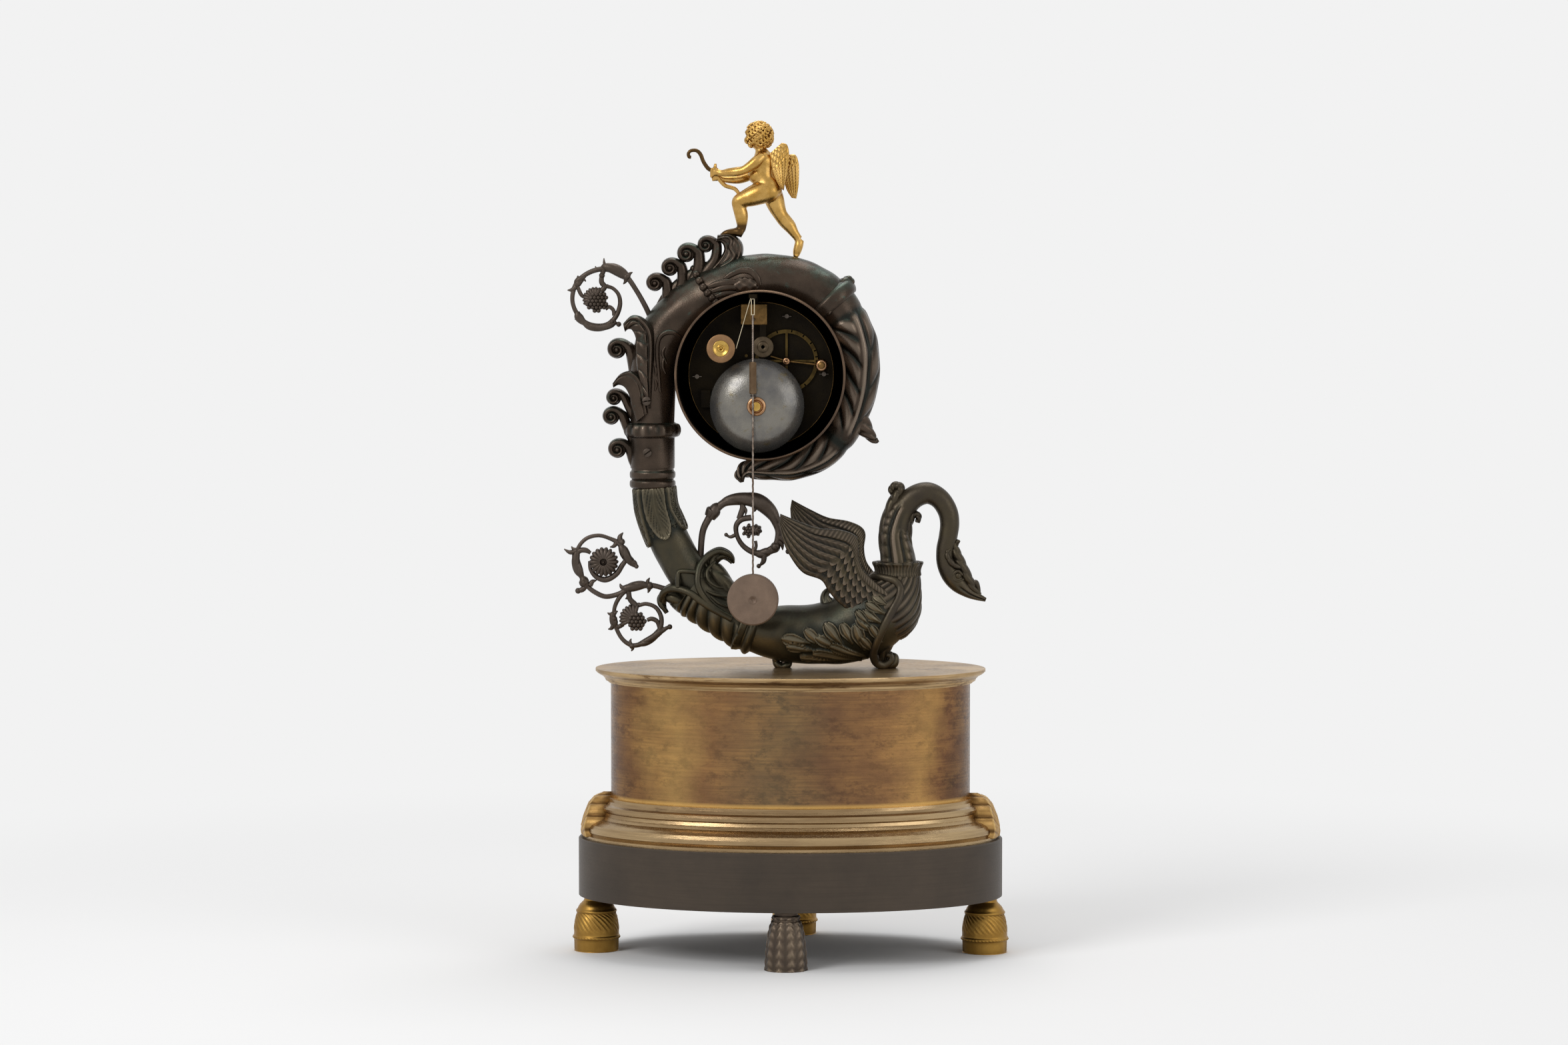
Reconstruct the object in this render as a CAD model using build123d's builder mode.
"""Figural mantel clock: an archer on a swan-headed horn that curls round the drum, on an oval base.

The frame is in millimetres with +Z up. The origin is on the floor under the middle of the base.
The dial faces +Y. The open back of the drum, with the bell and the pendulum, faces -Y.
"""

from build123d import *
from math import atan2, cos, degrees, hypot, pi, radians, sin
import os

# Photograph: places in the upright middle plane of the horn are given in its pixels

photo_scale = 0.44
photo_middle_px = 1185.5
photo_board_px = 1003

# Base

foot_height = 38.1
foot_radius = 15.6
foot_spread = 128.9
foot_reach = 83.0
tassel_radius = 13.6
plinth_half_length = 140.4
plinth_half_width = 93.0
plinth_height = 38.5
plinth_edge = 0.8
moulding_height = 26.4
moulding_overhang = 18.1
moulding_ledge = 9.0
case_half_length = 118.9
case_half_width = 71.5
case_height = 76.5
case_wall = 2.5
board_thickness = 9.3
board_overhang = 10.1
mount_length = 17.0
mount_width = 46.0
bolt_spread = 76.0
bolt_radius = 2.5
bolt_clearance = 0.4
bolt_bite = 5.0
nut_radius = 5.0
nut_height = 4.0
horn_bolt_radius = 2.0
horn_bolt_head = 4.5
horn_bolt_head_height = 3.0

# Horn, swan and their ornaments

ring_swell = 1.9
band_height = 1.8
band_width = 4.4
neck_collar_radius = 14.6
neck_collar_height = 10.3
foot_scroll_width = 15.0
wing_thickness = 4.2
wing_gap = 15.5
wing_spread = 13.0
far_wing_lift = 4.5
volute_width = 11.0
volute_boss = 1.6
side_leaf_thickness = 6.0
side_leaf_depth = -13.5
leaf_swell = 1.1
strap_width = 7.0
strap_height = 2.6
screw_radius = 3.5
screw_height = 1.2
bead_radius = 2.3
drum_fit = 0.15

# Archer

head_radius = 9.8
hip_depth = 6.0
wing_plate = 2.6

# Drum and dial

drum_middle = (-19.0, 194.2)
drum_radius = 56.0
drum_wall = 1.4
drum_back = -30.0
drum_front = 34.0
rim_bead = 0.7
dial_ledge = 5.5
dial_thickness = 1.2
dial_fit = 0.3
dial_hole = 3.6
dial_foot_radius = 1.5
door_ring_width = 8.0
door_overhang = 2.5
door_height = 9.0
door_gap = 0.8
glass_thickness = 1.6
glass_seat = 1.5
hinge_radius = 1.7
hinge_pin_radius = 0.8
hinge_fit = 0.08
hinge_arm = 2.4
hinge_leaf = 1.2
hinge_rise = 0.8
hinge_overhang = 5.0
lug_length = 6.0
knuckle_length = 5.6
knuckle_gap = 0.2

# Movement

plate_radius = 47.7
plate_thickness = 2.0
back_plate_depth = -8.0
plate_gap = 32.0
pillar_radius = 2.6
pillar_spots = [(-42.1, -1.3), (41.4, 0.4), (17.0, 38.4), (0, -42.0)]
pillar_end = 2.2
lug_block_depth = 3.0
pillar_front_end = 1.5
taper_pin_radius = 0.5
taper_pin_length = 6.0
pillar_pivot_radius = 1.4
pivot_fit = 0.05
arbor_radius = 1.0
winding_arbor_radius = 1.6
winding_hole = 3.0
tooth_root_share = 0.26
tooth_tip_share = 0.13
tooth_rise_share = 0.85
tooth_fall_share = 1.15
wheel_thickness = 1.5
pinion_length = 3.4
wheel_rim = 2.4
crossing_width = 1.5
hub_radius = 2.6
barrel_drum_radius = 18.2
barrel_length = 15.0
going_flange_front = 21.0
strike_flange_back = 3.2
strike_flange_thickness = 1.8
flange_thickness = 2.0
going_barrel_way = (-18.5, -14.5)
strike_barrel_way = (4.8, -24.0)
pinion_margin = 0.4
third_wheel_back = -3.0
centre_wheel_back = 0
escape_wheel_back = 9.25
barrel_teeth = 75
barrel_module = 0.54
centre_pinion_teeth = 12
centre_teeth = 60
third_pinion_teeth = 10
train_module = 0.45
third_teeth = 54
escape_pinion_teeth = 10
escape_module = 0.40
escape_radius = 8.5
escape_teeth = 24
escape_spot = (1.5, 18.4)
count_spot = (16.8, 9.0)
count_pinion_teeth = 15
count_radius = 20.7
count_thickness = 1.0
count_notches = 12
count_steps = 90
notch_width = 0.9
notch_depth = 1.6
count_gap = 0.6
motion_module = 0.5
motion_gap = 0.4
motion_thickness = 1.2
minute_spot = (0, 12.0)
minute_stud = 5.0
pipe_radius = 1.9
pipe_length = 6.6
escape_tooth_height = 1.3
escape_tooth_lean = 0.45
cannon_teeth = 12
minute_teeth = 36
hour_module = 0.48
minute_pinion_teeth = 10
hour_teeth = 40
winding_square = 2.2

# Bell, hammer, silk reel

bell_spot = (-2.3, -20.2)
bell_radius = 31.0
bell_depth = 17.0
bell_wall = 1.3
bell_rim_gap = 3.5
bell_post_radius = 1.8
bell_boss_radius = 5.6
bell_nut_radius = 2.9
bell_nut_height = 1.0
hammer_reach = 23.4
hammer_ball_radius = 3.8
hammer_ball_back = 3.2
hammer_arm_radius = 0.7
hammer_arm_depth = -11.0
hammer_hub_length = 2.5
hammer_droop = 2.6
hammer_tail = (-10.4, 3.1)
reel_spot = (-25.6, 17.6)
reel_radius = 9.4
reel_hub_radius = 5.2
reel_front = -25.0
reel_thickness = 2.0
reel_hub_height = 1.2
reel_stem_radius = 1.6
stem_gap = 0.1
cock_disc_radius = 6.6
cock_disc_back = -15.5
cock_disc_thickness = 2.0
cock_bar_width = 4.0

# Suspension and pendulum

swing_across = -4.4
silk_top = 50.4
silk_width = 2.4
silk_strand = 0.5
thread_radius = 0.25
thread_gap = 0.3
silk_length = 10.8
silk_thickness = 0.5
rod_depth = -33.0
rod_radius = 0.6
strip_width = 1.8
strip_thickness = 0.8
sleeve_width = 5.0
sleeve_depth = 2.4
sleeve_top = 10.5
sleeve_length = 21.5
pendulum_length = 197.0
bob_radius = 16.8
bob_thickness = 8.0
bob_bevel = 0.9
bob_hole = 2.2
cock_width = 16.7
cock_height = 13.0
cock_arm_width = 5.0
cock_arm_thickness = 2.4
cock_arm_reach = 2.0
cock_plate_thickness = 3.0
cock_rise = 3.3
anchor_height = 36.5
anchor_band = 1.6
anchor_clearance = 1.5
anchor_half_turn = 52
anchor_link = 2.5
crutch_depth = -30.5
crutch_radius = 0.45
crutch_foot = -13.2
crutch_slack = 0.4

minute_hand_length = 40.0
hour_hand_length = 27.0
hand_width = 2.6
hand_thickness = 0.8
hand_gap = 1.2
hand_start_gap = 1.0
hand_boss_radius = 2.6
hour_boss_radius = 3.2
hand_ring_radius = 2.6
hand_ring_share = 0.72
hand_point_share = 0.35
hour_hand_turn = -60
lug_block_middle = (-36.3, -15.9)
lug_block_width = 6.2
lug_block_height = 11.4

# Heights that follow from the sizes above

plinth_top = foot_height + plinth_height
moulding_top = plinth_top + moulding_height
case_top = moulding_top + case_height
board_top = case_top + board_thickness
plate_face = back_plate_depth + plate_thickness
front_plate_back = plate_face + plate_gap
front_plate_face = front_plate_back + plate_thickness
drum_x, drum_rise = drum_middle
drum_z = board_top + drum_rise

os.makedirs("parts", exist_ok=True)


# Helpers


def from_photo(px, py):
    """X and Z of a pixel of the photograph in the middle plane of the horn."""
    return (px - photo_middle_px) * photo_scale, board_top + (photo_board_px - py) * photo_scale


def at_depth(y):
    """Upright plane at depth y, seen from the back of the clock."""
    return Plane.XZ.offset(-y)


def in_drum(across, up):
    """X and Z of a place given from the axis of the drum."""
    return drum_x + across, drum_z + up


def save(piece, name):
    """Labels a finished piece and writes it."""
    piece.part.label = name
    export_step(piece.part, f"parts/{name}.step")


def round_form(stations, mode=Mode.ADD):
    """Smooth round body through (x, y, z, diameter) stations, each section square to the path."""
    sections = []
    last = len(stations) - 1
    for i, (x, y, z, diameter) in enumerate(stations):
        behind, ahead = stations[max(i - 1, 0)], stations[min(i + 1, last)]
        heading = Vector(*ahead[:3]) - Vector(*behind[:3])
        with BuildSketch(Plane(origin=(x, y, z), x_dir=(0, 1, 0), z_dir=heading)) as section:
            Circle(diameter / 2)
        sections.append(section.sketch)
    loft(sections=sections, mode=mode)


def photo_form(path_px, swell=0, mode=Mode.ADD):
    """Round body along pixels of the photograph: px, py, width and, off the middle plane, depth."""
    stations = []
    for px, py, width_px, *depth_px in path_px:
        x, z = from_photo(px, py)
        stations.append((x, sum(depth_px) * photo_scale, z, width_px * photo_scale + 2 * swell))
    round_form(stations, mode)


def photo_slab(outline_px, thickness, depth=0, mode=Mode.ADD):
    """Flat plate with a smooth outline through pixels of the photograph, centred on a depth."""
    with BuildSketch(at_depth(depth)) as face:
        with BuildLine():
            Spline(*[from_photo(px, py) for px, py in outline_px], periodic=True)
        make_face()
    extrude(face.sketch, amount=thickness / 2, both=True, mode=mode)


def oval_stack(levels, half_length, half_width):
    """Oval body through levels of height and overhang past the given half sizes."""
    sections = []
    for height, overhang in levels:
        with BuildSketch(Plane.XY.offset(height)) as section:
            Ellipse(half_length + overhang, half_width + overhang)
        sections.append(section.sketch)
    loft(sections=sections, ruled=True)


def upright_turning(x, y, corners):
    """Body turned about the upright line through x, y; corners are radius and height."""
    with BuildSketch(Plane(origin=(x, y, 0), x_dir=(1, 0, 0), z_dir=(0, -1, 0))) as half:
        with BuildLine():
            Polyline(*corners, close=True)
        make_face()
    revolve(half.sketch, axis=Axis((x, y, 0), (0, 0, 1)))


def turning(place, corners, mode=Mode.ADD):
    """Body turned about the line along Y through place; corners are radius and depth."""
    x, z = place
    with BuildSketch(Plane(origin=(x, 0, z), x_dir=(1, 0, 0), z_dir=(0, 0, 1))) as half:
        with BuildLine():
            Polyline(*corners, close=True)
        make_face()
    revolve(half.sketch, axis=Axis((x, 0, z), (0, 1, 0)), mode=mode)


def drum_bar(place, radius, back, front, mode=Mode.ADD):
    """Round bar along Y between two depths."""
    x, z = place
    with BuildSketch(at_depth(front)) as section:
        with Locations((x, z)):
            Circle(radius)
    extrude(section.sketch, amount=front - back, mode=mode)


def toothed_disc(place, partner, teeth, module, back, front, gap_first=False):
    """Toothed disc whose tooth, or gap, points at the wheel it meshes with."""
    tip = (teeth / 2 + tooth_rise_share) * module
    root = (teeth / 2 - tooth_fall_share) * module
    toward = atan2(partner[1] - place[1], partner[0] - place[0])
    pitch = 2 * pi / teeth
    first = toward + (pitch / 2 if gap_first else 0)
    corners = []
    for tooth in range(teeth):
        middle = first + tooth * pitch
        for radius, share in ((root, -tooth_root_share), (tip, -tooth_tip_share),
                              (tip, tooth_tip_share), (root, tooth_root_share)):
            turn = middle + share * pitch
            corners.append((place[0] + radius * cos(turn), place[1] + radius * sin(turn)))
    with BuildSketch(at_depth(front)) as section:
        with BuildLine():
            Polyline(*corners, close=True)
        make_face()
    extrude(section.sketch, amount=front - back)


def crossings(place, outer, inner, arms, back, front):
    """Cuts the openings between the arms of a crossed-out wheel."""
    with BuildSketch(at_depth(front)) as opening:
        with Locations(place):
            Circle(outer)
            Circle(inner, mode=Mode.SUBTRACT)
            with PolarLocations(0, arms):
                Rectangle(outer, crossing_width, align=(Align.MIN, Align.CENTER), mode=Mode.SUBTRACT)
    extrude(opening.sketch, amount=front - back, mode=Mode.SUBTRACT)


def pitch_radius(teeth, module):
    return teeth * module / 2


def third_corner(a, b, from_a, from_b):
    """Place at given distances from a and from b, on the left of the line from a up to b."""
    span = hypot(b[0] - a[0], b[1] - a[1])
    along = (from_a**2 - from_b**2 + span**2) / (2 * span)
    aside = (from_a**2 - along**2) ** 0.5
    ux, uz = (b[0] - a[0]) / span, (b[1] - a[1]) / span
    return a[0] + along * ux - aside * uz, a[1] + along * uz + aside * ux


# Feet

foot_profile_shares = [
    (0, 0), (0.93, 0), (0.97, 0.21), (1.0, 0.23), (1.0, 0.27), (0.96, 0.29), (0.95, 0.40),
    (0.90, 0.54), (0.82, 0.66), (0.84, 0.68), (0.84, 0.72), (0.78, 0.75), (0.70, 0.82),
    (0.56, 0.88), (0.52, 0.90), (0.52, 1), (0, 1),
]
tassel_profile_shares = [
    (0, 0), (1.0, 0), (1.0, 0.04), (0.97, 0.32), (0.89, 0.58), (0.76, 0.78), (0.63, 0.86),
    (0.66, 0.88), (0.66, 0.93), (0.53, 0.95), (0.53, 1), (0, 1),
]


def foot(name, x, y, radius, profile_shares):
    with BuildPart() as piece:
        upright_turning(x, y, [(r * radius, h * foot_height) for r, h in profile_shares])
    save(piece, name)


foot("foot_left", -foot_spread, 0, foot_radius, foot_profile_shares)
foot("foot_right", foot_spread, 0, foot_radius, foot_profile_shares)
foot("foot_dial_side", 0, foot_reach, foot_radius, foot_profile_shares)
foot("foot_back", 0, -foot_reach, tassel_radius, tassel_profile_shares)

# Oval base: plinth, moulding, case wall, top board with its cornice

with BuildPart() as plinth:
    with BuildSketch(Plane.XY.offset(foot_height)):
        Ellipse(plinth_half_length, plinth_half_width)
    extrude(amount=plinth_height)
    chamfer(plinth.edges().group_by(Axis.Z)[-1], plinth_edge)
    with BuildSketch(Plane.XY.offset(foot_height)):
        with Locations((-bolt_spread, 0), (bolt_spread, 0)):
            Circle(bolt_radius + bolt_clearance)
    extrude(amount=plinth_height, mode=Mode.SUBTRACT)
save(plinth, "plinth")

moulding_shares = [
    (0, 1.0), (0.08, 1.0), (0.11, 0.90), (0.17, 0.95), (0.27, 0.94), (0.36, 0.86), (0.43, 0.70),
    (0.49, 0.50), (0.57, 0.37), (0.65, 0.33), (0.69, 0.40), (0.76, 0.42), (0.82, 0.36),
    (0.86, 0.22), (0.92, 0.14), (1.0, 0.12),
]

with BuildPart() as plinth_moulding:
    oval_stack([(plinth_top + h * moulding_height, out * moulding_overhang)
                for h, out in moulding_shares], case_half_length, case_half_width)
    with BuildSketch(Plane.XY.offset(plinth_top)):
        Ellipse(case_half_length - moulding_ledge, case_half_width - moulding_ledge)
    extrude(amount=moulding_height, mode=Mode.SUBTRACT)
save(plinth_moulding, "plinth_moulding")

mount_shares = [(0.04, 1.02), (0.30, 1.10), (0.55, 0.80), (0.85, 0.50), (1.0, 0.30), (1.12, 0.12)]

with BuildPart() as end_mounts:
    oval_stack([(plinth_top + h * moulding_height, out * moulding_overhang)
                for h, out in mount_shares], case_half_length, case_half_width)
    with BuildSketch(Plane.XY.offset(plinth_top)) as window:
        with Locations((plinth_half_length, 0), (-plinth_half_length, 0)):
            Ellipse(mount_length * 2, mount_width / 2)
    extrude(window.sketch, amount=moulding_height * 2, mode=Mode.INTERSECT)
    with BuildSketch(Plane.XY.offset(moulding_top)) as wall_room:
        Ellipse(case_half_length + dial_fit, case_half_width + dial_fit)
    extrude(wall_room.sketch, amount=moulding_height, mode=Mode.SUBTRACT)
    add(plinth_moulding.part, mode=Mode.SUBTRACT)
    with BuildSketch(Plane.XY.offset(plinth_top)) as core:
        Ellipse(case_half_length, case_half_width)
    extrude(core.sketch, amount=moulding_height, mode=Mode.SUBTRACT)
save(end_mounts, "end_mounts")

with BuildPart() as base_case:
    with BuildSketch(Plane.XY.offset(moulding_top)):
        Ellipse(case_half_length, case_half_width)
        Ellipse(case_half_length - case_wall, case_half_width - case_wall, mode=Mode.SUBTRACT)
    extrude(amount=case_height)
save(base_case, "base_case")

cornice_shares = [
    (0, 0.16), (0.10, 0.20), (0.14, 0.34), (0.30, 0.40), (0.48, 0.56), (0.62, 0.80), (0.72, 0.92),
    (0.78, 0.94), (0.80, 1.0), (0.97, 1.0), (1.0, 0.97),
]
body_spot_px = (1176, 1003)
breast_spot_px = (1327, 1003)

with BuildPart() as top_board:
    oval_stack([(case_top + h * board_thickness, out * board_overhang)
                for h, out in cornice_shares], case_half_length, case_half_width)
    with BuildSketch(Plane.XY.offset(case_top)):
        with Locations((-bolt_spread, 0), (bolt_spread, 0)):
            Circle(bolt_radius + bolt_clearance)
    extrude(amount=bolt_bite, mode=Mode.SUBTRACT)
    with BuildSketch(Plane.XY.offset(case_top)):
        with Locations((from_photo(*body_spot_px)[0], 0), (from_photo(*breast_spot_px)[0], 0)):
            Circle(horn_bolt_radius + bolt_clearance)
    extrude(amount=board_thickness, mode=Mode.SUBTRACT)
save(top_board, "top_board")

with BuildPart() as base_bolts:
    with BuildSketch(Plane.XY.offset(foot_height - nut_height)):
        with Locations((-bolt_spread, 0), (bolt_spread, 0)):
            RegularPolygon(nut_radius, 6)
    extrude(amount=nut_height)
    with BuildSketch(Plane.XY.offset(foot_height)):
        with Locations((-bolt_spread, 0), (bolt_spread, 0)):
            Circle(bolt_radius)
    extrude(amount=case_top + bolt_bite - foot_height)
save(base_bolts, "base_bolts")

# Horn: one curved form from the leaf cup to the swan's neck, cut into its castings

lower_horn_px = [
    (979.5, 722, 57), (984, 762, 59), (993, 788, 60), (1004, 812, 61), (1019, 841, 61),
    (1038, 869, 62), (1060, 895, 64), (1085, 918, 66), (1110, 936, 68), (1137, 946, 71),
    (1168, 950.5, 83), (1201, 952.5, 88), (1235, 951, 93), (1268, 945, 103), (1300, 930, 110),
    (1330, 902, 97), (1346, 868, 66), (1347, 838, 57),
]
sleeve_foot_px = 733
ring_cut_px = (1128, 943)
breast_cut_px = (1330, 935)
neck_cut_px = 845
ring_lean_shares = (0.94, -0.34)
breast_lean_shares = (0.965, -0.263)


def cross_cut(spot_px, lean_shares):
    """Plane across the horn at a place, facing along the horn towards the swan."""
    x, z = from_photo(*spot_px)
    return Plane(origin=(x, 0, z), x_dir=(0, 1, 0), z_dir=(lean_shares[0], 0, lean_shares[1]))


def lower_horn(swell=0):
    photo_form(lower_horn_px, swell)


with BuildPart() as horn_tube:
    lower_horn()
    split(bisect_by=cross_cut(ring_cut_px, ring_lean_shares), keep=Keep.BOTTOM)
    split(bisect_by=Plane.XY.offset(from_photo(0, sleeve_foot_px)[1]), keep=Keep.BOTTOM)
save(horn_tube, "horn_tube")

horn_foot_px = [(1163, 985), (1164, 997), (1170, 1003), (1184, 1003), (1187, 996), (1182, 988)]

with BuildPart() as horn_body:
    lower_horn()
    split(bisect_by=cross_cut(ring_cut_px, ring_lean_shares), keep=Keep.TOP)
    split(bisect_by=cross_cut(breast_cut_px, breast_lean_shares), keep=Keep.BOTTOM)
    split(bisect_by=Plane.XY.offset(from_photo(0, neck_cut_px)[1]), keep=Keep.BOTTOM)
    with BuildSketch(at_depth(0)) as foot_block:
        with BuildLine():
            Polyline(*[from_photo(px, py) for px, py in horn_foot_px], close=True)
        make_face()
    extrude(foot_block.sketch, amount=foot_scroll_width / 2, both=True)
    with BuildSketch(Plane.XY.offset(board_top)) as bolt_hole:
        with Locations((from_photo(*body_spot_px)[0], 0)):
            Circle(horn_bolt_radius)
    extrude(bolt_hole.sketch, amount=bolt_bite, mode=Mode.SUBTRACT)
save(horn_body, "horn_body")

breast_foot_px = [(1311, 975), (1317, 997), (1322, 1003), (1337, 1003), (1341, 993), (1336, 978)]

with BuildPart() as swan_breast:
    lower_horn()
    split(bisect_by=cross_cut(breast_cut_px, breast_lean_shares), keep=Keep.TOP)
    split(bisect_by=Plane.XY.offset(from_photo(0, neck_cut_px)[1]), keep=Keep.BOTTOM)
    with BuildSketch(at_depth(0)) as breast_block:
        with BuildLine():
            Polyline(*[from_photo(px, py) for px, py in breast_foot_px], close=True)
        make_face()
    extrude(breast_block.sketch, amount=foot_scroll_width / 2, both=True)
    add(horn_body.part, mode=Mode.SUBTRACT)
    with BuildSketch(Plane.XY.offset(board_top)) as breast_hole:
        with Locations((from_photo(*breast_spot_px)[0], 0)):
            Circle(horn_bolt_radius)
    extrude(breast_hole.sketch, amount=bolt_bite, mode=Mode.SUBTRACT)
save(swan_breast, "swan_breast")

with BuildPart() as breast_band:
    lower_horn(band_height)
    split(bisect_by=cross_cut(breast_cut_px, breast_lean_shares).offset(-band_width / 2), keep=Keep.TOP)
    split(bisect_by=cross_cut(breast_cut_px, breast_lean_shares).offset(band_width / 2), keep=Keep.BOTTOM)
    add(horn_body.part, mode=Mode.SUBTRACT)
    add(swan_breast.part, mode=Mode.SUBTRACT)
    split(bisect_by=Plane.XY.offset(board_top), keep=Keep.TOP)
save(breast_band, "breast_band")

with BuildPart() as horn_bolts:
    with BuildSketch(Plane.XY.offset(case_top - horn_bolt_head_height)):
        with Locations((from_photo(*body_spot_px)[0], 0), (from_photo(*breast_spot_px)[0], 0)):
            RegularPolygon(horn_bolt_head, 6)
    extrude(amount=horn_bolt_head_height)
    with BuildSketch(Plane.XY.offset(case_top)):
        with Locations((from_photo(*body_spot_px)[0], 0), (from_photo(*breast_spot_px)[0], 0)):
            Circle(horn_bolt_radius)
    extrude(amount=board_thickness + bolt_bite)
save(horn_bolts, "horn_bolts")

# Sleeve with its rings, leaf cup and acanthus cup on the horn

sleeve_middle_px = 978.5
sleeve_profile_px = [
    (0, 733), (31, 733), (33.5, 730), (33.5, 722), (31, 719.5), (33.5, 717), (33.5, 708),
    (31.5, 705), (33, 702), (33, 656), (39, 655), (41.5, 650), (41.5, 641), (39, 636), (33.3, 635.5),
    (33.3, 646), (0, 646),
]

with BuildPart() as horn_sleeve:
    upright_turning(from_photo(sleeve_middle_px, 0)[0], 0,
                    [(r * photo_scale, from_photo(0, py)[1]) for r, py in sleeve_profile_px])

leaf_cup_px = [(979.5, 722, 62), (984, 762, 65), (993, 788, 67), (1001, 806, 67.5)]

with BuildPart() as leaf_cup:
    photo_form(leaf_cup_px)
    split(bisect_by=Plane.XY.offset(from_photo(0, sleeve_foot_px)[1]), keep=Keep.BOTTOM)
    add(horn_tube.part, mode=Mode.SUBTRACT)
save(leaf_cup, "leaf_cup")

cup_px = [(1128, 943, 73), (1110, 936, 71), (1085, 920, 72), (1060, 903, 72), (1044, 890, 76)]
cup_rings_px = [((1113, 937.2), 78, 8), ((1128, 943), 80, 10)]
outer_hook_px = [(1056, 921, 16), (1042, 918, 18), (1027, 911, 20), (1012, 901, 22), (1000, 896, 18), (993, 905, 13),
                 (1000, 921, 5)]
inner_hook_px = [(1099, 905, 13), (1092, 886, 15), (1078, 866, 18), (1066, 849, 20), (1073, 836, 18),
                 (1086, 834, 12), (1098, 843, 4)]

with BuildPart() as acanthus_cup:
    for cup_part_px in (cup_px, outer_hook_px, inner_hook_px):
        photo_form(cup_part_px)
    for ring_spot_px, ring_width_px, ring_length_px in cup_rings_px:
        with BuildSketch(cross_cut(ring_spot_px, ring_lean_shares)) as ring_face:
            Circle(ring_width_px * photo_scale / 2)
        extrude(ring_face.sketch, amount=ring_length_px * photo_scale / 2, both=True)
    add(horn_tube.part, mode=Mode.SUBTRACT)
    add(horn_body.part, mode=Mode.SUBTRACT)
save(acanthus_cup, "acanthus_cup")

# Upper horn, which curls round the drum

horn_curl_px = [
    (978.5, 646, 66), (978.5, 625, 66), (978.5, 595, 68), (982, 549, 72), (995.6, 506.3, 76),
    (1024.2, 473.5, 80), (1056.7, 450.7, 80), (1089, 434.7, 80), (1121.2, 423, 79),
    (1155, 420.5, 78), (1188.3, 424.6, 77), (1219.9, 436.6, 75), (1247.8, 456.2, 72),
    (1268, 484, 66), (1282, 515, 62), (1289, 549, 57), (1286.5, 585, 53),
    (1277, 620, 49), (1258.5, 653, 49), (1230, 680, 46), (1194, 696, 42),
    (1157, 701, 36), (1134, 702, 31), (1119, 705, 24), (1111, 714, 15), (1113, 724, 5),
]


def drum_room():
    """Cuts away the space that the drum takes."""
    drum_bar((drum_x, drum_z), drum_radius + drum_fit, drum_back, drum_front, Mode.SUBTRACT)


with BuildPart() as horn_curl:
    photo_form(horn_curl_px)
    drum_room()
save(horn_curl, "horn_curl")

with BuildPart() as trimmed_sleeve:
    add(horn_sleeve.part)
    add(horn_curl.part, mode=Mode.SUBTRACT)
save(trimmed_sleeve, "horn_sleeve")

leaf_first, leaf_last = 13, 18
leaf_hook_px = [(1284, 622, 36), (1297, 641, 26), (1306, 653, 12), (1311, 662, 4)]

with BuildPart() as tail_leaf:
    photo_form(horn_curl_px[leaf_first:leaf_last], leaf_swell)
    photo_form(leaf_hook_px)
    add(horn_curl.part, mode=Mode.SUBTRACT)
    drum_room()
save(tail_leaf, "tail_leaf")

strap_px = [(1240, 449, 84), (1246, 454.8, 87), (1252, 461, 84)]
strap_end_px = [(1258, 440, 18), (1268, 431, 18), (1276, 424, 13)]

with BuildPart() as horn_strap:
    photo_form(strap_px)
    photo_form(strap_end_px)
    add(horn_curl.part, mode=Mode.SUBTRACT)
    drum_room()
save(horn_strap, "horn_strap")

# Volutes and leaves cast along the outside of the horn

crest_volutes_px = [
    ((982.8, 425.4), 15.4, [(997, 463, 16), (1000, 446, 12), (995, 432, 9)]),
    ((1005.5, 402.6), 15.4, [(1022, 434, 16), (1022, 420, 12), (1018, 408, 9)]),
    ((1030.5, 381.3), 16.1, [(1050, 412, 16), (1049, 400, 12), (1044, 387, 9)]),
    ((1059.1, 368.9), 13.0, [(1076, 402, 16), (1076, 388, 12), (1071, 374, 9)]),
]
crest_leaf_px = [(1066, 424, 8), (1082, 404, 18), (1096, 384, 21), (1099, 368, 17), (1090, 359, 11),
                 (1078, 361, 4)]
beads_px = [(1046, 412, -8), (1051, 422, -18), (1057, 431, -27), (1066, 441.5, -33), (1073, 449, -36)]
side_volutes_px = [
    ((929.5, 523.5), 20.0, [(972, 566, 18), (956, 548, 15), (944, 528, 11)]),
    ((921.8, 598.1), 14.0, [(962, 606, 14), (944, 600, 11), (932, 594, 9)]),
    ((918.0, 625.9), 16.0, [(962, 640, 14), (944, 632, 12), (930, 622, 10)]),
    ((926.3, 675.7), 16.5, [(960, 690, 14), (945, 682, 12), (936, 672, 10)]),
]
upper_side_leaf_px = [
    (972, 612), (962, 590), (955, 560), (952, 530), (954, 506), (950, 492), (940, 498), (937, 492),
    (943, 479), (956, 473), (971, 481), (981, 500), (984, 530), (982, 570), (979, 602),
]
lower_side_leaf_px = [
    (968, 618), (952, 602), (940, 590), (925, 587), (921, 579), (930, 566), (945, 559), (960, 566),
    (971, 586), (975, 606),
]


def volute(middle_px, radius_px, stem_px):
    """Round scroll end with a raised boss on each face, on a stem from the horn."""
    reach = volute_width / 2
    edge = radius_px * photo_scale
    turning(from_photo(*middle_px), [
        (0, -reach - volute_boss), (edge / 3, -reach - volute_boss), (edge / 2, -reach),
        (edge * 0.8, -reach), (edge, -reach / 2), (edge, reach / 2), (edge * 0.8, reach),
        (edge / 2, reach), (edge / 3, reach + volute_boss), (0, reach + volute_boss)])
    photo_form(stem_px)


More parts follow.
